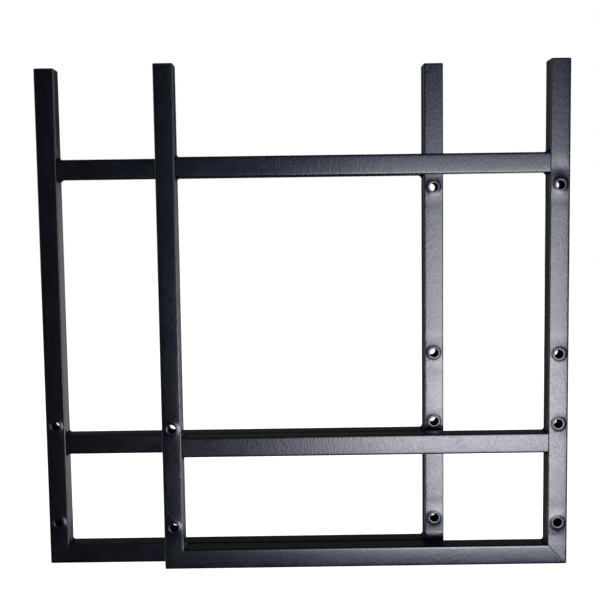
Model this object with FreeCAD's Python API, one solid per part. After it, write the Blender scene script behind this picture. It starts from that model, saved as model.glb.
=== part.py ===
"""Adjustable window security grille: two welded square-tube panels that slide past each other.

Units are millimetres. +X runs along the width, +Y from the front panel to the rear one, +Z up.
The origin is at the middle of the grille's foot, with the rear panel standing to the left.
"""
import FreeCAD, Part
import os

Vector = FreeCAD.Vector

# ---- driving dimensions ----------------------------------------------------------------------
TUBE = 25.4              # outside of the square tube
WALL = 1.5
CORNER_R = 2.0           # outside corner of the tube
PANEL_WIDTH = 520.0
PANEL_HEIGHT = 645.0
LOWER_RAIL_Z = 146.5     # underside of the lower rail
UPPER_RAIL_Z = 503.5     # underside of the upper rail
PANEL_OFFSET = 155.0     # how far the front panel stands to the right of the rear one
PANEL_GAP = 2.0          # between the two panels' faces, so that their sleeve lips pass each other

BOLT_HOLE_R = 5.3        # clear bore of a through-sleeve
SLEEVE_R = 6.4           # outside of its barrel
LIP_R = 8.0              # outside of its rolled lip
LIP_HEIGHT = 0.5
LIP_EDGE = 0.2           # height of the lip's outer edge above its seat
SLEEVE_CLEARANCE = 0.1   # round the barrel, in the tube walls

BOSS_HEIGHT = 0.4        # the walls are pressed out round each sleeve into a low boss
BOSS_FOOT_R = 10.4       # where the boss meets the flat of the tube
BOSS_TOP_R = 8.3         # flat ring under the lip

BEAD_LEG = 4.0           # weld bead in an inside corner
BEAD_SAG = 0.7           # how far its face is hollow

CAP_THICKNESS = 3.0      # end plug: the part that shows
CAP_EDGE_R = 1.5
STEM_DEPTH = 14.0        # end plug: the part inside the post
STEM_WALL = 1.8
STEM_CLEARANCE = 0.25    # each side
FIN_DEPTH = 1.0          # gripping fins round the stem
FIN_SPACING = 4.0
FIN_CLEARANCE = 0.05

SLEEVE_HEIGHTS = {
    "left": {"foot": 55.0, "low": 184.0},
    "right": {"foot": 55.0, "low": 184.0, "mid": 274.0, "high": 488.0},
}

# ---- derived dimensions ----------------------------------------------------------------------
INNER = TUBE - 2 * WALL
INNER_R = CORNER_R - WALL
OVERRUN = 1.0            # how far a cutting tool runs past the solid that it cuts
RAIL_LENGTH = PANEL_WIDTH - 2 * TUBE
STEEL_HEIGHT = PANEL_HEIGHT - CAP_THICKNESS
POST_X = {"left": 0.0, "right": PANEL_WIDTH - TUBE}
GRILLE_WIDTH = PANEL_WIDTH + PANEL_OFFSET
PANEL_ORIGIN = {
    "rear": Vector(-GRILLE_WIDTH / 2, PANEL_GAP / 2, 0),
    "front": Vector(-GRILLE_WIDTH / 2 + PANEL_OFFSET, -PANEL_GAP / 2 - TUBE, 0),
}


# ---- building blocks -------------------------------------------------------------------------
def bar(size, origin, axis, radius):
    """A box whose four edges along the axis are rounded."""
    box = Part.makeBox(size.x, size.y, size.z, origin)
    long_edges = [
        edge for edge in box.Edges
        if abs(abs(edge.tangentAt(edge.FirstParameter).dot(axis)) - 1) < 1e-6
    ]
    return box.makeFillet(radius, long_edges)


def square_tube(length, origin, axis):
    """The hollow of the tube runs past both of its ends."""
    along = axis * length
    across = Vector(1, 1, 1) - axis
    outside = bar(along + across * TUBE, origin, axis, CORNER_R)
    bore_origin = origin + across * WALL - axis * OVERRUN
    bore = bar(along + axis * 2 * OVERRUN + across * INNER, bore_origin, axis, INNER_R)
    return outside, bore


def prism_along_y(points_xz, y_low, y_high):
    corners = [Vector(x, y_low, z) for x, z in points_xz]
    outline = Part.makePolygon(corners + corners[:1])
    return Part.Face(outline).extrude(Vector(0, y_high - y_low, 0))


def below_mitre():
    """Everything under the 45 degree cut at a panel's lower left corner."""
    low = -OVERRUN
    high = TUBE + OVERRUN
    return prism_along_y([(low, low), (high, low), (high, high)], low, high)


def above_mitre():
    low = -OVERRUN
    high = TUBE + OVERRUN
    return prism_along_y([(low, low), (high, high), (low, high)], low, high)


def to_right_end(shape):
    """The same shape at the panel's other side."""
    return shape.mirror(Vector(PANEL_WIDTH / 2, 0, 0), Vector(1, 0, 0))


def boss(x, y, z, direction):
    return Part.makeCone(BOSS_FOOT_R, BOSS_TOP_R, BOSS_HEIGHT, Vector(x, y, z), direction)


# ---- sub-parts, in a panel's own frame: x from its left edge, y from its front face ----------
def post(side):
    outside, bore = square_tube(STEEL_HEIGHT, Vector(POST_X[side], 0, 0), Vector(0, 0, 1))
    centre_x = POST_X[side] + TUBE / 2
    to_front = Vector(0, -1, 0)
    to_back = Vector(0, 1, 0)
    bolt_holes = []
    for height in SLEEVE_HEIGHTS[side].values():
        outside = outside.fuse(boss(centre_x, 0, height, to_front))
        outside = outside.fuse(boss(centre_x, TUBE, height, to_back))
        bore = bore.fuse(boss(centre_x, WALL, height, to_front))
        bore = bore.fuse(boss(centre_x, TUBE - WALL, height, to_back))
        hole_start = Vector(centre_x, -OVERRUN, height)
        hole_r = SLEEVE_R + SLEEVE_CLEARANCE
        bolt_holes.append(Part.makeCylinder(hole_r, TUBE + 2 * OVERRUN, hole_start, to_back))
    solid = outside.cut(bore).cut(Part.makeCompound(bolt_holes))
    foot_cut = below_mitre()
    if side == "right":
        foot_cut = to_right_end(foot_cut)
    return solid.cut(foot_cut)


def butted_rail(underside_z):
    outside, bore = square_tube(RAIL_LENGTH, Vector(TUBE, 0, underside_z), Vector(1, 0, 0))
    return outside.cut(bore)


def mitred_rail():
    outside, bore = square_tube(PANEL_WIDTH, Vector(0, 0, 0), Vector(1, 0, 0))
    end_cut = above_mitre()
    return outside.cut(bore).cut(end_cut).cut(to_right_end(end_cut))


def through_sleeve(side, height):
    """A steel bush through both walls of a post, its ends rolled over into lips."""
    middle = TUBE / 2
    seat = -BOSS_HEIGHT
    top = seat - LIP_HEIGHT
    lip_top_r = (BOLT_HOLE_R + LIP_R) / 2

    def point(radius, y):
        return Vector(radius, y, 0)

    outline = [
        Part.LineSegment(point(SLEEVE_R, middle), point(SLEEVE_R, seat)),
        Part.LineSegment(point(SLEEVE_R, seat), point(LIP_R, seat)),
        Part.LineSegment(point(LIP_R, seat), point(LIP_R, seat - LIP_EDGE)),
        Part.Arc(point(LIP_R, seat - LIP_EDGE), point(lip_top_r, top), point(BOLT_HOLE_R, seat - LIP_EDGE)),
        Part.LineSegment(point(BOLT_HOLE_R, seat - LIP_EDGE), point(BOLT_HOLE_R, middle)),
        Part.LineSegment(point(BOLT_HOLE_R, middle), point(SLEEVE_R, middle)),
    ]
    section = Part.Face(Part.Wire([segment.toShape() for segment in outline]))
    half = section.revolve(Vector(0, 0, 0), Vector(0, 1, 0), 360)
    other_half = half.mirror(Vector(0, middle, 0), Vector(0, 1, 0))
    sleeve = half.fuse(other_half).removeSplitter()
    sleeve.translate(Vector(POST_X[side] + TUBE / 2, 0, height))
    return sleeve


def weld_bead(corner_x, corner_z, x_sign, z_sign):
    """A fillet weld along Y in the inside corner at (corner_x, corner_z)."""
    def point(x, z):
        return Vector(corner_x + x_sign * x, CORNER_R, corner_z + z_sign * z)

    hollow = BEAD_LEG / 2 - BEAD_SAG / 2 ** 0.5
    outline = [
        Part.LineSegment(point(0, 0), point(BEAD_LEG, 0)),
        Part.Arc(point(BEAD_LEG, 0), point(hollow, hollow), point(0, BEAD_LEG)),
        Part.LineSegment(point(0, BEAD_LEG), point(0, 0)),
    ]
    section = Part.Face(Part.Wire([segment.toShape() for segment in outline]))
    return section.extrude(Vector(0, TUBE - 2 * CORNER_R, 0))


def weld_beads():
    """Above and below each end of the two butted rails, and in the two mitred corners."""
    corners = [(TUBE, 1)]
    for underside_z in (LOWER_RAIL_Z, UPPER_RAIL_Z):
        corners += [(underside_z, -1), (underside_z + TUBE, 1)]
    beads = []
    for corner_z, z_sign in corners:
        beads.append(weld_bead(TUBE, corner_z, 1, z_sign))
        beads.append(weld_bead(PANEL_WIDTH - TUBE, corner_z, -1, z_sign))
    return Part.makeCompound(beads)


def end_plug(side):
    """A moulded square plug: a cap flush with the tube, and a finned hollow stem inside it."""
    up = Vector(0, 0, 1)
    cap = bar(Vector(TUBE, TUBE, CAP_THICKNESS), Vector(POST_X[side], 0, STEEL_HEIGHT), up, CORNER_R)
    top_edges = [edge for edge in cap.Edges if edge.BoundBox.ZMin > PANEL_HEIGHT - 1e-6]
    cap = cap.makeFillet(CAP_EDGE_R, top_edges)

    def centred_square(size, low_z, high_z):
        inset = (TUBE - size) / 2
        origin = Vector(POST_X[side] + inset, inset, low_z)
        return Part.makeBox(size, size, high_z - low_z, origin)

    stem_size = INNER - 2 * STEM_CLEARANCE
    stem_foot = STEEL_HEIGHT - STEM_DEPTH
    plug = cap.fuse(centred_square(stem_size, stem_foot, STEEL_HEIGHT))
    for step in (1, 2):
        fin_z = stem_foot + step * FIN_SPACING
        plug = plug.fuse(centred_square(INNER - 2 * FIN_CLEARANCE, fin_z, fin_z + FIN_DEPTH))
    hollow_size = stem_size - 2 * STEM_WALL
    return plug.cut(centred_square(hollow_size, stem_foot - OVERRUN, STEEL_HEIGHT))


def panel_nodes():
    nodes = {
        "upper_rail": butted_rail(UPPER_RAIL_Z),
        "lower_rail": butted_rail(LOWER_RAIL_Z),
        "bottom_rail": mitred_rail(),
        "weld_beads": weld_beads(),
    }
    for side, heights in SLEEVE_HEIGHTS.items():
        nodes[side + "_post"] = post(side)
        nodes[side + "_end_plug"] = end_plug(side)
        for place, height in heights.items():
            nodes[side + "_sleeve_" + place] = through_sleeve(side, height)
    return nodes


os.makedirs("parts", exist_ok=True)
for panel, origin in PANEL_ORIGIN.items():
    for name, shape in panel_nodes().items():
        placed = shape.copy()
        placed.translate(origin)
        placed.exportStep("parts/" + panel + "_" + name + ".step")
        print(panel + "_" + name, len(placed.Solids), placed.isValid(), round(placed.Volume, 1))
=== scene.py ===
"""Looks of the adjustable window security grille: two welded square-tube panels in black powder coat.

Blender units are metres. Sizes below are in millimetres, as a fabricator would give them, and `MM` turns
them into metres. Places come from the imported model's own boxes.
"""
import math
import bpy
from mathutils import Matrix, Vector, noise


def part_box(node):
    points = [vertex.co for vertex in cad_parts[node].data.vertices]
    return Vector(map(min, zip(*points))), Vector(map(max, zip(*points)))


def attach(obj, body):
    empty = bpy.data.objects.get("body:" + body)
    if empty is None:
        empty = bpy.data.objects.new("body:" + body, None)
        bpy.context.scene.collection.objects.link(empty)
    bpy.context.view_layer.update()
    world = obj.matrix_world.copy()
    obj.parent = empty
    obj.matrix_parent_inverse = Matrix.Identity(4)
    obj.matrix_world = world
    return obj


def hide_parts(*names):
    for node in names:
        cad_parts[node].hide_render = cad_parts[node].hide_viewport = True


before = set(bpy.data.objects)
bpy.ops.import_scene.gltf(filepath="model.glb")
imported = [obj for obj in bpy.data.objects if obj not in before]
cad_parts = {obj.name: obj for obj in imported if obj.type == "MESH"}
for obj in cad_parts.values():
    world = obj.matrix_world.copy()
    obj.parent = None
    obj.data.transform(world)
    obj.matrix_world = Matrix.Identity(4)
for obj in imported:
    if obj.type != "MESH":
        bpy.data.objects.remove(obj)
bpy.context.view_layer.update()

MM = 0.001

# ---- driving dimensions, mm ------------------------------------------------------------------
TUBE = 25.4
WALL = 1.5
CORNER_R = 1.4           # outside corner of the tube, as far as it can be told apart from the flat
CROWN = 0.07             # how far a face's edges lie below its middle, as one even curve ...
EDGE_FALL = 0.05         # ... and as a fall close to the edges
WAVER = 0.07             # slow unevenness of the faces along a tube
WAVER_LENGTH = 85.0
WAVER_SHIFT = 7.3        # keeps one face's unevenness apart from the next one's
CAP_THICKNESS = 3.0      # end plug: the part above the steel
CAP_EDGE_R = 2.0
CAP_DOME = 0.7           # the cap's middle stands this much above its rounded edge
CAP_CLEARANCE = 0.02     # keeps the cap inside the tube's outline, so that it stays in the CAD box
GATE_R = 1.3             # the small sunk mark that moulding leaves in the cap's middle
STEM_DEPTH = 14.0        # end plug: the part inside the post
STEM_WALL = 1.8
STEM_CLEARANCE = 0.25
STEM_CORNER_R = 0.5
FIN_CLEARANCE = 0.05
FIN_SPACING = 4.0

BOLT_HOLE_R = 5.3        # clear bore of a through-sleeve
SLEEVE_R = 6.4           # outside of its barrel
HOLE_R = 6.5             # hole in the tube wall round the barrel
LIP_R = 8.0              # outside of the rolled lip
LIP_BASE = 0.48          # height of the lip's underside above the tube's face
LIP_CREST = 0.88         # height of its crest
LIP_ROUNDNESS = 0.75     # power that makes the lip's section fuller than a plain arch
LIP_CHAMFER = 0.12       # under the lip's outer edge
LIP_WOBBLE = 0.05        # how unevenly the lip was rolled
LIP_WOBBLE_RATE = 1.7    # more gives more bumps in one turn

BOSS_HEIGHT = 0.36       # the wall is pressed out round each sleeve, steep at the lip ...
BOSS_TOP_R = 8.0
BOSS_FADE = 1.55
SWELL_HEIGHT = 0.34      # ... swells gently further out ...
SWELL_REACH = 11.0
TROUGH_DEPTH = 0.12      # ... and sinks a little above and below
TROUGH_AT = 19.0
TROUGH_REACH = 7.0
DENT_DEPTH = 0.42        # the front right post has a wide dent above its high hole
DENT_OFFSET = (-1.0, 21.0)   # across and along, from the hole
DENT_REACH = 11.0
SIDE_BULGE = 0.5         # the walls beside a sleeve bow outwards, where another post doesn't hold them
SIDE_BULGE_REACH = 15.0

SEAM_DEPTH = 0.06        # dressed weld seam along a mitre
SEAM_REACH = 0.45
MITRE_TIP_R = 2.2        # the weld rounds a mitre's outer tip
RAIL_LEAN = 0.014        # slope of a bottom rail's front face, which its welds have pulled in at the foot
BEAD_LEG = 4.0           # weld bead in an inside corner
BEAD_SAG = 0.7           # how far its face is hollow
BEAD_END_LENGTH = 2.2    # its ends taper over this length ...
BEAD_END_PART = 0.55     # ... down to this part of its size
BEAD_ROOT = 0.15         # how far it reaches into the corner behind it
BEAD_WAVER = 0.05        # unevenness of its size along it, as a part of the size
BEAD_WAVER_RATE = 4.0    # more gives more swells in its length
RIPPLE_HEIGHT = 0.1
RIPPLE_PITCH = 1.9
RIPPLE_BOW = 1.6         # how far a ripple's middle runs ahead of its ends

HALF = TUBE / 2
FLAT = HALF - CORNER_R   # half width of a face's flat part
INNER_CORNER_R = 0.5     # inside corner of the tube

# ---- mesh density, mm where it isn't a count ---------------------------------------------------
FACE_STEPS = 12          # mesh columns across a face
CORNER_STEPS = 5         # and round a corner
END_ZONE = 30.0          # stretch at a mitred end in which the mesh follows the cut
END_MARKS = (0.0, 0.4, 0.9, 1.6, 3.0, 5.5, 9.0, 14.0, 20.0, 27.0)    # mesh rows near a tube's ends
FIRST_ROW = 36.0         # elsewhere the rows start here ...
LAST_ROW = 34.0          # ... end this far from the other end ...
ROW_STEP = 9.0           # ... and have this pitch,
FINE_ROW_STEP = 3.0      # or this one near a hole
FINE_REACH = 48.0
PATCH_GAP = 1.2          # a row keeps this far from a hole's square patch,
PATCH_END_GAP = 0.8      # and a row near the tube's ends this far
PATCH_R = 10.6           # outermost full ring of the mesh round a hole
PATCH_RINGS = (10.0, 9.4, 8.9, 8.5, 8.2, 8.0, 7.7, HOLE_R)    # and the rings inside it

# Outward normals of a tube's four faces in its own (across, deep) section; each one's tangent is the
# next one's normal.
FACE_NORMALS = ((0, -1), (1, 0), (0, 1), (-1, 0))
FRONT, RIGHT, BACK, LEFT = range(4)

SIDES = ("left", "right")
SLEEVE_PLACES = {"left": ("foot", "low"), "right": ("foot", "low", "mid", "high")}


def smooth(value):
    value = min(max(value, 0.0), 1.0)
    return value * value * (3 - 2 * value)


def hump(distance, reach):
    """A smooth rise: 1 at no distance, and nearly nothing at twice the reach."""
    return math.exp(-((distance / reach) ** 2))


# ---- mesh building ---------------------------------------------------------------------------
def new_piece(name, points, faces, body, replaced, materials, sharp_angle=40.0, choices=None):
    """Makes a smooth-shaded mesh piece that rides on a body and stands for the replaced nodes.

    points are in millimetres in the frame and faces wind outwards. choices gives each face's material by
    its number in materials.
    """
    mesh = bpy.data.meshes.new(name)
    mesh.from_pydata([Vector(point) * MM for point in points], [], faces)
    mesh.validate()
    mesh.polygons.foreach_set("use_smooth", [True] * len(mesh.polygons))
    mesh.set_sharp_from_angle(angle=math.radians(sharp_angle))
    for material in materials:
        mesh.materials.append(material)
    if choices is not None:
        mesh.polygons.foreach_set("material_index", choices)
    piece = bpy.data.objects.new(name, mesh)
    bpy.context.scene.collection.objects.link(piece)
    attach(piece, body)
    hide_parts(*replaced)
    return piece


class Tube:
    """A hollow square tube with crowned faces, and with holes through its front and back.

    It is built along its own axis s. place(u, v, s) puts a point of the tube's own frame into the model's
    frame, where u runs across, v from front to back and s along. low_cut and high_cut give an end's s for a
    given u, and mitred says of each end whether it is a mitre. bulges lists the faces that bow outwards
    beside the holes, lean is the slope of the front face, and dented is the hole with a dent above it.
    """

    def __init__(self, place, length, low_cut, high_cut, mitred, holes, bulges, seed, lean=0.0, dented=None):
        self.place = place
        self.length = length
        self.low_cut = low_cut
        self.high_cut = high_cut
        self.ends = ((low_cut, mitred[0], 0.0), (high_cut, mitred[1], length))
        self.holes = holes
        self.bulges = bulges
        self.seed = seed
        self.lean = lean
        self.dented = dented
        self.points = []
        self.faces = []

    def hole_relief(self, across, s):
        """Height above the front or back face that the holes' bosses and troughs give."""
        height = 0.0
        for hole in self.holes:
            r = math.hypot(across, s - hole)
            height += BOSS_HEIGHT * math.exp(-max(r - BOSS_TOP_R, 0.0) / BOSS_FADE)
            height += SWELL_HEIGHT * hump(r, SWELL_REACH)
            height -= TROUGH_DEPTH * hump(abs(s - hole) - TROUGH_AT, TROUGH_REACH)
            if r < BOSS_TOP_R + 0.1:
                height = min(height, LIP_BASE)
        return height

    def relief(self, face, across, s):
        """Height above a nominal outer face."""
        height = -CROWN * (across / FLAT) ** 2 - EDGE_FALL * (across / FLAT) ** 4
        sample = Vector((s / WAVER_LENGTH, face * WAVER_SHIFT, self.seed))
        height += WAVER * (noise.noise(sample) - 1) / 2
        if face == FRONT:
            height -= self.lean * across
            if self.dented is not None:
                off = math.hypot(across - DENT_OFFSET[0], s - self.dented - DENT_OFFSET[1])
                height -= DENT_DEPTH * hump(off, DENT_REACH)
        if face in (FRONT, BACK):
            height += self.hole_relief(across, s)
        elif face in self.bulges:
            fade = 1 - (across / HALF) ** 2
            for hole in self.holes:
                height += SIDE_BULGE * hump(s - hole, SIDE_BULGE_REACH) * fade
        return height

    def seam(self, u, s):
        """How far the dressed seam pulls the surface in near a mitred end."""
        depth = 0.0
        for cut, is_mitred, _ in self.ends:
            if is_mitred:
                away = abs(s - cut(u)) / math.sqrt(2)
                depth += SEAM_DEPTH * (1 - smooth(away / SEAM_REACH))
        return depth

    def follow_cuts(self, u, s):
        """Shifts s near the tube's ends, so that the first and last rows lie on the cuts."""
        if s < END_ZONE:
            low = self.low_cut(u)
            return low + (END_ZONE - low) * s / END_ZONE
        if s > self.length - END_ZONE:
            high = self.high_cut(u)
            start = self.length - END_ZONE
            return start + (high - start) * (s - start) / END_ZONE
        return s

    def put(self, u, v, s):
        """Places a point, after rounding the outer tip of a mitred end."""
        for cut, is_mitred, end in self.ends:
            if is_mitred:
                along = MITRE_TIP_R - abs(s - end)
                inward = MITRE_TIP_R - abs(cut(u) - end)
                if along > 0 and inward > 0:
                    to_middle = self.length / 2 - end
                    shrink = max(along, inward) / math.hypot(along, inward)
                    s = end + math.copysign(MITRE_TIP_R - along * shrink, to_middle)
                    slope = math.copysign(1.0, (cut(1.0) - cut(0.0)) * to_middle)
                    u += slope * inward * (1 - shrink)
        return self.place(u, v, s)

    def on_face(self, face, across, s, inset):
        """A point of the outer skin, or with an inset of the inner one."""
        nu, nv = FACE_NORMALS[face]
        tu, tv = FACE_NORMALS[(face + 1) % 4]
        if inset:
            across = across * (HALF - WALL - INNER_CORNER_R) / FLAT
        s = self.follow_cuts(nu * HALF + tu * across, s)
        out = HALF - inset
        if inset:
            out += self.hole_relief(across, s) if face in (FRONT, BACK) else 0.0
        else:
            out += self.relief(face, across, s) - self.seam(nu * HALF + tu * across, s)
        return self.put(nu * out + tu * across, nv * out + tv * across, s)

    def on_corner(self, face, angle, s, inset):
        """Round the corner from a face (angle 0) to the next one (angle 90 degrees)."""
        nu, nv = FACE_NORMALS[face]
        tu, tv = FACE_NORMALS[(face + 1) % 4]
        du = nu * math.cos(angle) + tu * math.sin(angle)
        dv = nv * math.cos(angle) + tv * math.sin(angle)
        if inset:
            middle = HALF - WALL - INNER_CORNER_R
            radius = INNER_CORNER_R
        else:
            middle = FLAT
            radius = CORNER_R
        s = self.follow_cuts((nu + tu) * middle + du * radius, s)
        if not inset:
            after = (face + 1) % 4
            radius += self.relief(face, FLAT, s) * math.cos(angle) ** 2
            radius += self.relief(after, -FLAT, s) * math.sin(angle) ** 2
            radius -= self.seam((nu + tu) * middle + du * radius, s)
        return self.put((nu + tu) * middle + du * radius, (nv + tv) * middle + dv * radius, s)

    def stations(self):
        """Places along the tube: regular between the holes' square patches, closer near holes and ends.

        Returns them with the number of the first row of each hole's patch.
        """
        marks = list(END_MARKS) + [self.length - mark for mark in END_MARKS]
        position = FIRST_ROW
        while position < self.length - LAST_ROW:
            nearest = min((abs(position - hole) for hole in self.holes), default=self.length)
            if nearest > FLAT + PATCH_GAP:
                marks.append(position)
            position += FINE_ROW_STEP if nearest < FINE_REACH else ROW_STEP
        first_rows = {}
        for hole in self.holes:
            rows = [hole - FLAT + 2 * FLAT * k / FACE_STEPS for k in range(FACE_STEPS + 1)]
            low, high = rows[0] - PATCH_END_GAP, rows[-1] + PATCH_END_GAP
            marks = [mark for mark in marks if not low < mark < high] + rows
            first_rows[hole] = rows[0]
        marks.sort()
        return marks, {hole: marks.index(row) for hole, row in first_rows.items()}

    def build(self):
        """Makes the outer and the inner skin, and joins them at the ends and in the holes."""
        marks, patch_starts = self.stations()
        per_side = FACE_STEPS + CORNER_STEPS
        around = 4 * per_side
        shells = {}
        hole_rims = {}
        for inset in (0.0, WALL):
            index = {}

            def vertex(column, row, inset=inset, index=index):
                column %= around
                if (column, row) not in index:
                    face, k = divmod(column, per_side)
                    if k <= FACE_STEPS:
                        across = -FLAT + 2 * FLAT * k / FACE_STEPS
                        point = self.on_face(face, across, marks[row], inset)
                    else:
                        angle = math.pi / 2 * (k - FACE_STEPS) / CORNER_STEPS
                        point = self.on_corner(face, angle, marks[row], inset)
                    index[column, row] = len(self.points)
                    self.points.append(point)
                return index[column, row]

            def add(corners, inset=inset):
                self.faces.append(corners[::-1] if inset else corners)

            for row in range(len(marks) - 1):
                in_patch = any(start <= row < start + FACE_STEPS for start in patch_starts.values())
                for column in range(around):
                    face, k = divmod(column, per_side)
                    if in_patch and face in (FRONT, BACK) and k < FACE_STEPS:
                        continue
                    add((vertex(column, row), vertex(column + 1, row),
                         vertex(column + 1, row + 1), vertex(column, row + 1)))
            for hole, start in patch_starts.items():
                for face in (FRONT, BACK):
                    rim = self.patch(face, hole, start, vertex, add, inset)
                    hole_rims.setdefault((hole, face), []).append(rim)
            shells[inset] = [[vertex(column, row) for column in range(around)] for row in (0, len(marks) - 1)]
        for which in (0, 1):
            self.bridge(shells[0.0][which], shells[WALL][which], flip=which == 0)
        for outer_rim, inner_rim in hole_rims.values():
            self.bridge(outer_rim, inner_rim, flip=False)
        return self.points, self.faces

    def patch(self, face, hole, start, vertex, add, inset):
        """The square of wall round a hole, in rings from its border in to the hole.

        Returns the hole's rim.
        """
        first = face * (FACE_STEPS + CORNER_STEPS)
        n = FACE_STEPS
        border = [(k, 0) for k in range(n)] + [(n, k) for k in range(n)]
        border += [(n - k, n) for k in range(n)] + [(0, n - k) for k in range(n)]
        previous = [vertex(first + k, start + row) for k, row in border]
        spots = [(-FLAT + 2 * FLAT * k / n, -FLAT + 2 * FLAT * row / n) for k, row in border]
        rings = [(PATCH_R, blend) for blend in (0.33, 0.66, 1.0)]
        rings += [(radius, 1.0) for radius in PATCH_RINGS]
        for radius, blend in rings:
            ring = []
            for across, along in spots:
                distance = math.hypot(across, along)
                on_circle = (across / distance * radius, along / distance * radius)
                a = across + (on_circle[0] - across) * blend
                b = along + (on_circle[1] - along) * blend
                ring.append(len(self.points))
                self.points.append(self.on_face(face, a, hole + b, inset))
            for k in range(len(ring)):
                after = (k + 1) % len(ring)
                add((previous[k], previous[after], ring[after], ring[k]))
            previous = ring
        return previous

    def bridge(self, outer, inner, flip):
        """Closes the wall's thickness between two rims."""
        for k in range(len(outer)):
            after = (k + 1) % len(outer)
            quad = (outer[k], outer[after], inner[after], inner[k])
            self.faces.append(quad[::-1] if flip else quad)


def lathe(profile, centre, segments, wobble, seed):
    """Turns a closed profile of (radius, y) round an axis along Y through the centre.

    The faces of one segment follow each other in the profile's order.
    """
    points = []
    faces = []
    rows = len(profile)
    for step in range(segments):
        angle = 2 * math.pi * step / segments
        for radius, y in profile:
            sample = Vector((math.cos(angle) * LIP_WOBBLE_RATE, math.sin(angle) * LIP_WOBBLE_RATE, seed))
            grown = radius + wobble * noise.noise(sample) * (radius > SLEEVE_R)
            points.append((centre.x + grown * math.cos(angle), centre.y + y,
                           centre.z + grown * math.sin(angle)))
        for row in range(rows):
            after = (step + 1) % segments
            below = (row + 1) % rows
            faces.append((step * rows + row, step * rows + below, after * rows + below, after * rows + row))
    return points, faces


# ---- materials -------------------------------------------------------------------------------
# Scales of the noise fields, in features per metre or so, and what they do.
CLOUD_SCALE = 28.0
FLECK_SCALE = 480.0
PEEL_SCALE = 480.0
GRAIN_SCALE = 1900.0
STREAK_SCALE = 700.0
STREAK_STRETCH = 0.03    # scale along a tube, as a part of the scale across it
PEEL_SLANT = math.radians(40.0)
PEEL_STRETCH = 0.45
STREAK_DEPTH = 1.5       # depth of the streaks, as a part of the grain's
CLOUD_TONE = 0.6         # shares of clouds and flecks in the step from the dark to the light tone
FLECK_TONE = 0.4
CLOUD_ROUGHNESS = 0.02   # how far clouds and flecks change the roughness
FLECK_ROUGHNESS = 0.055
AXIS_X, AXIS_Z = 0, 2


def node(tree, kind, inputs=None, **settings):
    """Adds a shader node. inputs gives each socket a value, or the other node's socket that feeds it."""
    made = tree.nodes.new(kind)
    for name, value in settings.items():
        setattr(made, name, value)
    for name, value in (inputs or {}).items():
        socket = made.inputs[name]
        if isinstance(value, bpy.types.NodeSocket):
            tree.links.new(value, socket)
        else:
            socket.default_value = value
    return made


def noise_field(tree, place, scale, detail=2.0, roughness=0.5):
    made = node(tree, "ShaderNodeTexNoise", {
        "Vector": place, "Scale": scale, "Detail": detail, "Roughness": roughness})
    return made.outputs["Fac"]


def spread_over(tree, field, low, high, to_low, to_high):
    """Maps a field's range low to high on to another range."""
    made = node(tree, "ShaderNodeMapRange", {
        "Value": field, "From Min": low, "From Max": high, "To Min": to_low, "To Max": to_high})
    return made.outputs["Result"]


def bump(tree, height, distance, below=None):
    inputs = {"Height": height, "Strength": 1.0, "Distance": distance}
    if below is not None:
        inputs["Normal"] = below
    return node(tree, "ShaderNodeBump", inputs).outputs["Normal"]


def coat_material(name, dark, light, roughness, peel, grain, streak_axis=None, gloss=0.5):
    """Satin powder coat: nearly black, with orange peel, a fine grain and slight cloudiness.

    peel and grain are depths in metres, and streaks run along streak_axis, if there is one.
    """
    material = bpy.data.materials.new(name)
    material.use_nodes = True
    tree = material.node_tree
    shader = tree.nodes["Principled BSDF"]
    shader.inputs["IOR"].default_value = 1.5
    shader.inputs["Specular IOR Level"].default_value = gloss
    place = node(tree, "ShaderNodeTexCoord").outputs["Object"]

    clouds = noise_field(tree, place, CLOUD_SCALE, detail=3.0)
    flecks = noise_field(tree, place, FLECK_SCALE, roughness=0.6)
    cloud_part = spread_over(tree, clouds, 0.35, 0.65, 0.0, CLOUD_TONE)
    fleck_part = spread_over(tree, flecks, 0.35, 0.7, 0.0, FLECK_TONE)
    tone = node(tree, "ShaderNodeMath", {0: cloud_part, 1: fleck_part}, operation="ADD").outputs["Value"]
    colour = node(
        tree, "ShaderNodeMix", {"Factor": tone, "A": (*dark, 1), "B": (*light, 1)}, data_type="RGBA")
    tree.links.new(colour.outputs["Result"], shader.inputs["Base Color"])

    rough_clouds = spread_over(
        tree, clouds, 0.3, 0.7, roughness - CLOUD_ROUGHNESS, roughness + CLOUD_ROUGHNESS)
    rough_flecks = spread_over(tree, flecks, 0.3, 0.7, -FLECK_ROUGHNESS, FLECK_ROUGHNESS)
    rough = node(tree, "ShaderNodeMath", {0: rough_clouds, 1: rough_flecks}, operation="ADD").outputs["Value"]
    tree.links.new(rough, shader.inputs["Roughness"])

    slant = node(tree, "ShaderNodeMapping", {
        "Vector": place, "Rotation": (0.0, PEEL_SLANT, 0.0), "Scale": (1.0, 1.0, PEEL_STRETCH)})
    normal = bump(tree, noise_field(tree, slant.outputs["Vector"], PEEL_SCALE, detail=1.0), peel)
    normal = bump(tree, noise_field(tree, place, GRAIN_SCALE, roughness=0.6), grain, normal)
    if streak_axis is not None:
        stretch = [1.0, 1.0, 1.0]
        stretch[streak_axis] = STREAK_STRETCH
        lines = node(tree, "ShaderNodeMapping", {"Vector": place, "Scale": stretch})
        streaks = noise_field(tree, lines.outputs["Vector"], STREAK_SCALE)
        normal = bump(tree, streaks, grain * STREAK_DEPTH, normal)
    tree.links.new(normal, shader.inputs["Normal"])
    return material


COAT_DARK = (0.006, 0.007, 0.011)
COAT_LIGHT = (0.010, 0.0115, 0.018)

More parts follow.
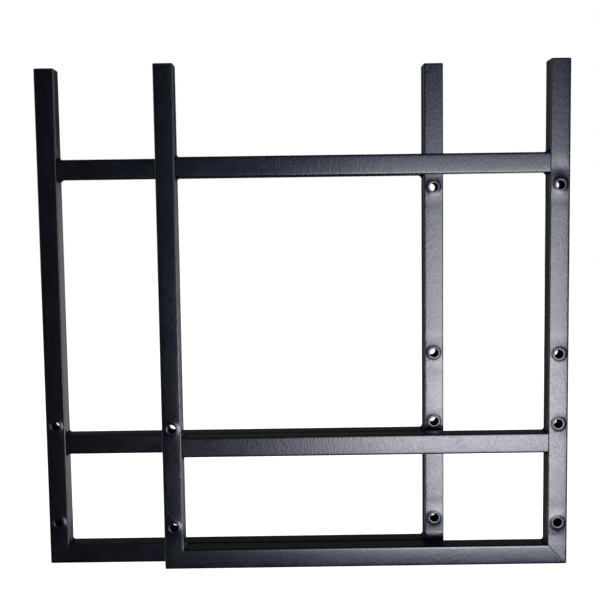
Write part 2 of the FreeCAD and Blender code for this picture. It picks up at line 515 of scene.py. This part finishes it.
post_coat = coat_material("powder_coat_posts", COAT_DARK, COAT_LIGHT, 0.175, peel=6.5e-5, grain=4e-6,
                          streak_axis=AXIS_Z)
rail_coat = coat_material("powder_coat_rails", COAT_DARK, COAT_LIGHT, 0.18, peel=6e-5, grain=4e-6,
                          streak_axis=AXIS_X)
sleeve_coat = coat_material("powder_coat_sleeves", (0.008, 0.009, 0.012), (0.014, 0.015, 0.020), 0.17,
                            peel=6e-6, grain=2e-6)
# The bores get a nearly black coat that hardly mirrors anything: painted shade inside the holes.
bore_shade_coat = coat_material("bore_painted_shade", (0.001, 0.001, 0.0015), (0.003, 0.003, 0.0035), 0.8,
                            peel=2e-5, grain=1e-5, gloss=0.06)
# The welds' coat has its gloss turned nearly off, so that the beads stay dark: painted shade in the inside
# corners.
weld_shade_coat = coat_material("powder_coat_welds_painted_shade", COAT_DARK, (0.011, 0.0125, 0.019), 0.5,
                          peel=2e-5, grain=4e-6, gloss=0.08)
plug_plastic = coat_material("plug_polyethylene", (0.012, 0.012, 0.013), (0.019, 0.019, 0.020), 0.42,
                             peel=1e-5, grain=1.2e-5)


# ---- the two panels --------------------------------------------------------------------------
def box_mm(name):
    low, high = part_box(name)
    return Vector(low) / MM, Vector(high) / MM


def square_end(s):
    return lambda u: s


def build_post(panel, side, body, seed):
    name = panel + "_" + side + "_post"
    low, high = box_mm(name)
    centre_x = (low.x + high.x) / 2
    centre_y = (low.y + high.y) / 2
    heights = []
    for place in SLEEVE_PLACES[side]:
        sleeve_low, sleeve_high = box_mm(panel + "_" + side + "_sleeve_" + place)
        heights.append((sleeve_low.z + sleeve_high.z) / 2)
    outward = 1 if side == "left" else -1
    tube = Tube(
        place=lambda u, v, s: (centre_x + u, centre_y + v, s),
        length=high.z,
        low_cut=lambda u: HALF + outward * u,
        high_cut=square_end(high.z),
        mitred=(True, False),
        holes=heights,
        bulges=(RIGHT,) if side == "left" else (LEFT,),
        seed=seed,
        dented=heights[-1] if (panel, side) == ("front", "right") else None,
    )
    points, faces = tube.build()
    new_piece(name + "_tube", points, faces, body, [name], [post_coat])


def build_rail(panel, rail, body, seed):
    name = panel + "_" + rail
    low, high = box_mm(name)
    centre_z = (low.z + high.z) / 2
    centre_y = (low.y + high.y) / 2
    length = high.x - low.x
    mitred = rail == "bottom_rail"
    tube = Tube(
        place=lambda u, v, s: (low.x + s, centre_y + v, centre_z - u),
        length=length,
        low_cut=(lambda u: HALF - u) if mitred else square_end(0.0),
        high_cut=(lambda u: length - (HALF - u)) if mitred else square_end(length),
        mitred=(mitred, mitred),
        holes=[],
        bulges=(),
        seed=seed,
        lean=RAIL_LEAN if mitred else 0.0,
    )
    points, faces = tube.build()
    new_piece(name + "_tube", points, faces, body, [name], [rail_coat])


def sleeve_profile():
    """A sleeve's closed section, from the middle of the bore over one rolled lip and back over the other."""
    lip_middle = (BOLT_HOLE_R + LIP_R) / 2
    lip_half = (LIP_R - BOLT_HOLE_R) / 2
    rise = LIP_CREST - LIP_BASE
    face = -HALF
    underside = face - LIP_BASE
    half = [(BOLT_HOLE_R, 0.0), (BOLT_HOLE_R, face + 3.0), (BOLT_HOLE_R, face + 0.6)]
    steps = 12
    for step in range(steps + 1):
        angle = math.pi * step / steps
        crest = rise * math.sin(angle) ** LIP_ROUNDNESS
        half.append((lip_middle - lip_half * math.cos(angle), underside - crest))
    half += [(LIP_R - LIP_CHAMFER, underside + 0.1), (SLEEVE_R, underside + LIP_CHAMFER), (SLEEVE_R, 0.0)]
    mirrored = [(radius, -y) for radius, y in half[::-1]]
    return half + mirrored[1:-1]


def build_sleeves(panel, body, seed):
    """Builds a panel's sleeves, coated outside, with a nearly black, unreflective bore that paints the shade
    inside the holes.
    """
    profile = sleeve_profile()
    after = profile[1:] + profile[:1]
    in_bore = [radius == next_radius == BOLT_HOLE_R for (radius, _), (next_radius, _) in zip(profile, after)]
    segments = 56
    outside_or_bore = [int(inside) for inside in in_bore] * segments
    for side in SIDES:
        for number, place in enumerate(SLEEVE_PLACES[side]):
            name = panel + "_" + side + "_sleeve_" + place
            low, high = box_mm(name)
            points, faces = lathe(profile, (low + high) / 2, segments, LIP_WOBBLE, seed + number)
            new_piece(name + "_bush", points, faces, body, [name],
                      [sleeve_coat, bore_shade_coat], sharp_angle=60.0, choices=outside_or_bore)


def bead(corner, x_sign, z_sign, seed):
    """A fillet weld along Y in an inside corner: a hollow face with ripples, and two tapered ends."""
    across_steps = 8
    along_steps = 44
    points = []
    faces = []
    depth = TUBE - 2 * CORNER_R
    width = across_steps + 2
    for row in range(along_steps + 1):
        along = row / along_steps
        y = -depth / 2 + depth * along
        near_end = min(along, 1 - along) * depth
        leg = BEAD_LEG * (BEAD_END_PART + (1 - BEAD_END_PART) * smooth(near_end / BEAD_END_LENGTH))
        leg *= 1 + BEAD_WAVER * noise.noise(Vector((along * BEAD_WAVER_RATE, seed, 0.0)))
        for step in range(across_steps + 1):
            t = step / across_steps
            arch = math.sin(math.pi * t)
            ripple = RIPPLE_HEIGHT * arch * math.sin(2 * math.pi * (y + RIPPLE_BOW * arch) / RIPPLE_PITCH)
            inward = (4 * BEAD_SAG * t * (1 - t) - ripple) / math.sqrt(2)
            points.append((corner[0] + x_sign * (leg * (1 - t) - inward), corner[1] + y,
                           corner[2] + z_sign * (leg * t - inward)))
        points.append((corner[0] - x_sign * BEAD_ROOT, corner[1] + y, corner[2] - z_sign * BEAD_ROOT))
    for row in range(along_steps):
        for step in range(width):
            after = (step + 1) % width
            faces.append((row * width + step, row * width + after,
                          (row + 1) * width + after, (row + 1) * width + step))
    faces.append(tuple(range(width))[::-1])
    faces.append(tuple(along_steps * width + step for step in range(width)))
    if x_sign * z_sign > 0:
        faces = [face[::-1] for face in faces]
    return points, faces


def build_beads(panel, body, seed):
    inner_left = box_mm(panel + "_left_post")[1].x
    inner_right = box_mm(panel + "_right_post")[0].x
    low, high = box_mm(panel + "_bottom_rail")
    middle_y = (low.y + high.y) / 2
    corners = [(high.z, 1)]
    for rail in ("lower_rail", "upper_rail"):
        low, high = box_mm(panel + "_" + rail)
        corners += [(low.z, -1), (high.z, 1)]
    points = []
    faces = []
    for number, (corner_z, z_sign) in enumerate(corners):
        for corner_x, x_sign in ((inner_left, 1), (inner_right, -1)):
            corner = (corner_x, middle_y, corner_z)
            more_points, more_faces = bead(corner, x_sign, z_sign, seed + number + x_sign)
            faces += [tuple(len(points) + k for k in face) for face in more_faces]
            points += more_points
    name = panel + "_weld_beads"
    new_piece(name + "_rippled", points, faces, body, [name], [weld_shade_coat], sharp_angle=75.0)


def rounded_square(centre, half, corner_r, z):
    """A square's outline with round corners, corner by corner and anticlockwise from above."""
    steps = 6
    points = []
    for quarter in range(4):
        middle = half - corner_r
        turn = math.pi / 4 + quarter * math.pi / 2
        corner_x = math.copysign(middle, math.cos(turn))
        corner_y = math.copysign(middle, math.sin(turn))
        for step in range(steps + 1):
            angle = quarter * math.pi / 2 + math.pi / 2 * step / steps
            points.append((centre.x + corner_x + corner_r * math.cos(angle),
                           centre.y + corner_y + corner_r * math.sin(angle), z))
    return points


def plug_rings(top):
    """The plug's skin as (half width, corner radius, height), from inside the stem out and over the cap."""
    steel = top - CAP_THICKNESS
    foot = steel - STEM_DEPTH
    inside = HALF - WALL
    stem = inside - STEM_CLEARANCE
    fin = inside - FIN_CLEARANCE
    hollow = stem - STEM_WALL
    hollow_corner_r = 0.6
    hollow_round = 0.9       # at the hollow's blind end
    foot_chamfer = 0.4
    rings = [
        (hollow - hollow_round, hollow_corner_r, steel),
        (hollow, hollow_corner_r, steel - hollow_round),
        (hollow, hollow_corner_r, foot),
        (stem - foot_chamfer, STEM_CORNER_R, foot),
        (stem, STEM_CORNER_R, foot + foot_chamfer),
    ]
    for count in (1, 2):
        root = foot + count * FIN_SPACING
        for half, rise in ((stem, 0.0), (fin, 0.75), (fin, 0.9), (stem, 1.0)):
            rings.append((half, STEM_CORNER_R, root + rise))
    cap = HALF - CAP_CLEARANCE
    rings.append((stem, STEM_CORNER_R, steel))
    rings += [(cap - 0.1, CORNER_R, steel + 0.01), (cap, CORNER_R, steel + 0.12)]
    edge_top = top - CAP_DOME
    edge_steps = 6
    for step in range(edge_steps + 1):
        angle = math.pi / 2 * step / edge_steps
        inward = CAP_EDGE_R * (1 - math.cos(angle))
        rings.append((cap - inward, CORNER_R, edge_top - CAP_EDGE_R * (1 - math.sin(angle))))
    for part in (0.85, 0.6, 0.35, 0.18):
        rings.append((part * (HALF - CAP_EDGE_R), CORNER_R, top - CAP_DOME * part * part))
    gate_roundness = 0.9     # 1 would be a circle, whose four sides have no length
    for half, depth in ((GATE_R, 0.01), (GATE_R - 0.15, 0.2), (0.5, 0.26)):
        rings.append((half, gate_roundness * half, top - depth))
    return rings


def build_plug(panel, side, body):
    """Builds the moulded plug in a post's top as one closed skin of rounded squares."""
    name = panel + "_" + side + "_end_plug"
    low, high = box_mm(name)
    centre = (low + high) / 2
    rings = plug_rings(high.z)
    points = []
    faces = []
    for half, corner_r, z in rings:
        points += rounded_square(centre, half, corner_r, z)
    around = len(points) // len(rings)
    for row in range(len(rings) - 1):
        for step in range(around):
            after = (step + 1) % around
            faces.append((row * around + step, row * around + after,
                          (row + 1) * around + after, (row + 1) * around + step))
    faces.append(tuple(range(around))[::-1])
    faces.append(tuple(len(points) - around + step for step in range(around)))
    new_piece(name + "_cap", points, faces, body, [name], [plug_plastic], sharp_angle=50.0)


# The seeds are arbitrary; they only keep the pieces' unevenness apart.
for panel_number, panel in enumerate(("rear", "front")):
    body = panel + "_panel"
    for side_number, side in enumerate(SIDES):
        build_post(panel, side, body, seed=3.1 + 10 * panel_number + 4 * side_number)
        build_plug(panel, side, body)
    for rail_number, rail in enumerate(("bottom_rail", "lower_rail", "upper_rail")):
        build_rail(panel, rail, body, seed=31.7 + 10 * panel_number + 3 * rail_number)
    build_sleeves(panel, body, seed=5.0 + 10 * panel_number)
    build_beads(panel, body, seed=2.0 + 10 * panel_number)


# ---- camera ----------------------------------------------------------------------------------
EYE = Vector((-5.0, -1213.5, 445.5))
PITCH_DOWN, YAW_LEFT, ROLL = (math.radians(angle) for angle in (4.725, -0.084, 0.787))


def build_camera():
    camera_data = bpy.data.cameras.new("camera")
    camera_data.lens = 56.55
    camera_data.sensor_width = 36.0
    camera = bpy.data.objects.new("camera", camera_data)
    bpy.context.scene.collection.objects.link(camera)
    turn = Matrix.Rotation(YAW_LEFT, 4, "Z") @ Matrix.Rotation(math.pi / 2 - PITCH_DOWN, 4, "X")
    turn = turn @ Matrix.Rotation(-ROLL, 4, "Z")
    camera.matrix_world = Matrix.Translation(EYE * MM) @ turn
    bpy.context.scene.camera = camera


# ---- floor, light and background -------------------------------------------------------------
def build_floor():
    """A white floor, bright enough to merge with the paper behind, which the coat doesn't mirror."""
    half = 6.0
    mesh = bpy.data.meshes.new("floor")
    corners = [(-half, -half, 0), (half, -half, 0), (half, half, 0), (-half, half, 0)]
    mesh.from_pydata(corners, [], [(0, 1, 2, 3)])
    floor = bpy.data.objects.new("floor", mesh)
    bpy.context.scene.collection.objects.link(floor)
    material = bpy.data.materials.new("white_floor")
    material.use_nodes = True
    shader = material.node_tree.nodes["Principled BSDF"]
    shader.inputs["Base Color"].default_value = (0.9, 0.9, 0.9, 1)
    shader.inputs["Roughness"].default_value = 0.8
    shader.inputs["Emission Color"].default_value = (1, 1, 1, 1)
    shader.inputs["Emission Strength"].default_value = 1.0
    mesh.materials.append(material)
    floor.visible_glossy = False
    floor.visible_diffuse = False


# Soft boxes of the studio, as directions seen from the object: azimuth from the front or from the back
# (towards +X), elevation, half width, half height, softness sideways and up and down (all in degrees),
# strength and tint.
SOFT_BOXES = (
    ("front", 11.5, -7.0, 8.0, 9.0, 3.2, 9.0, 9.5, (0.99, 0.99, 1.03)),
    ("front", 11.5, -14.2, 9.5, 5.8, 9.0, 1.6, 7.0, (0.98, 0.98, 1.04)),
    ("front", 11.0, -8.0, 12.5, 18.0, 11.0, 8.0, 0.85, (0.35, 0.5, 1.35)),
    ("front", -16.0, -5.0, 20.0, 20.0, 10.0, 8.0, 0.035, (1.0, 1.0, 1.0)),
    ("front", -62.0, -14.0, 24.0, 26.0, 10.0, 10.0, 1.2, (0.97, 0.99, 1.03)),
    ("front", 88.0, 0.0, 22.0, 26.0, 12.0, 12.0, 1.5, (1.0, 0.99, 0.98)),
    ("back", 47.0, -8.0, 20.0, 24.0, 10.0, 10.0, 1.5, (0.98, 0.99, 1.02)),
    ("back", -52.0, -6.0, 20.0, 24.0, 10.0, 10.0, 1.2, (0.98, 0.99, 1.02)),
    ("back", 17.5, -7.5, 8.0, 10.0, 4.5, 4.0, 0.5, (1.0, 0.99, 0.99)),
    ("back", -21.0, -6.0, 8.0, 16.0, 4.0, 4.0, 0.06, (1.0, 0.98, 0.8)),
    ("back", 0.0, 19.0, 34.0, 10.0, 8.0, 5.0, 0.03, (1.0, 1.0, 0.85)),
)
GLOSS_BASE = (0.018, 0.019, 0.021)    # what the coat mirrors between the soft boxes


def build_world():
    """Mirror-like rays see the soft boxes, the camera sees white paper, and all else is dim daylight."""
    world = bpy.data.worlds.new("studio")
    bpy.context.scene.world = world
    world.use_nodes = True
    world.cycles.sampling_method = "NONE"
    tree = world.node_tree
    tree.nodes.clear()
    direction = node(tree, "ShaderNodeTexCoord").outputs["Generated"]
    parts = node(tree, "ShaderNodeSeparateXYZ", {"Vector": direction}).outputs

    def math_node(operation, *values):
        return node(tree, "ShaderNodeMath", dict(enumerate(values)), operation=operation).outputs["Value"]

    elevation = math_node("ARCSINE", parts["Z"])
    minus_y = math_node("MULTIPLY", parts["Y"], -1.0)
    azimuths = {
        "front": math_node("ARCTAN2", parts["X"], minus_y),
        "back": math_node("ARCTAN2", parts["X"], parts["Y"]),
    }

    def window(angle, centre, half, soft):
        off = math_node("ABSOLUTE", math_node("SUBTRACT", angle, math.radians(centre)))
        made = node(tree, "ShaderNodeMapRange", {
            "Value": off, "From Min": math.radians(half - soft), "From Max": math.radians(half + soft),
            "To Min": 1.0, "To Max": 0.0}, interpolation_type="SMOOTHERSTEP")
        return made.outputs["Result"]

    total = node(tree, "ShaderNodeCombineXYZ", dict(zip("XYZ", GLOSS_BASE))).outputs["Vector"]
    for side, azimuth, height, half_width, half_height, soft_x, soft_z, strength, tint in SOFT_BOXES:
        inside = math_node("MULTIPLY", window(azimuths[side], azimuth, half_width, soft_x),
                           window(elevation, height, half_height, soft_z))
        colour = [strength * channel for channel in tint]
        scaled = node(tree, "ShaderNodeVectorMath", {0: colour, "Scale": inside}, operation="SCALE")
        added = node(tree, "ShaderNodeVectorMath", {0: total, 1: scaled.outputs["Vector"]}, operation="ADD")
        total = added.outputs["Vector"]

    gloss = node(tree, "ShaderNodeBackground", {"Color": total, "Strength": 1.0})
    ambient = node(tree, "ShaderNodeBackground", {"Color": (0.9, 0.97, 1.1, 1), "Strength": 0.15})
    paper = node(tree, "ShaderNodeBackground", {"Color": (1, 1, 1, 1), "Strength": 1.0})
    rays = node(tree, "ShaderNodeLightPath").outputs
    lit = node(tree, "ShaderNodeMixShader", {
        "Fac": rays["Is Glossy Ray"], 1: ambient.outputs[0], 2: gloss.outputs[0]})
    seen = node(tree, "ShaderNodeMixShader", {
        "Fac": rays["Is Camera Ray"], 1: lit.outputs[0], 2: paper.outputs[0]})
    output = node(tree, "ShaderNodeOutputWorld")
    tree.links.new(seen.outputs[0], output.inputs["Surface"])


def build_lamp():
    """One soft overhead lamp, which lights the floor; the coat doesn't mirror it."""
    light = bpy.data.lights.new("overhead", "AREA")
    light.shape = "RECTANGLE"
    light.size = 2.4
    light.size_y = 1.8
    light.energy = 14.0
    lamp = bpy.data.objects.new("overhead", light)
    lamp.location = (0.0, -0.4, 2.3)
    lamp.visible_glossy = False
    lamp.visible_camera = False
    bpy.context.scene.collection.objects.link(lamp)


build_camera()
build_floor()
build_world()
build_lamp()
bpy.context.scene.view_settings.view_transform = "Standard"
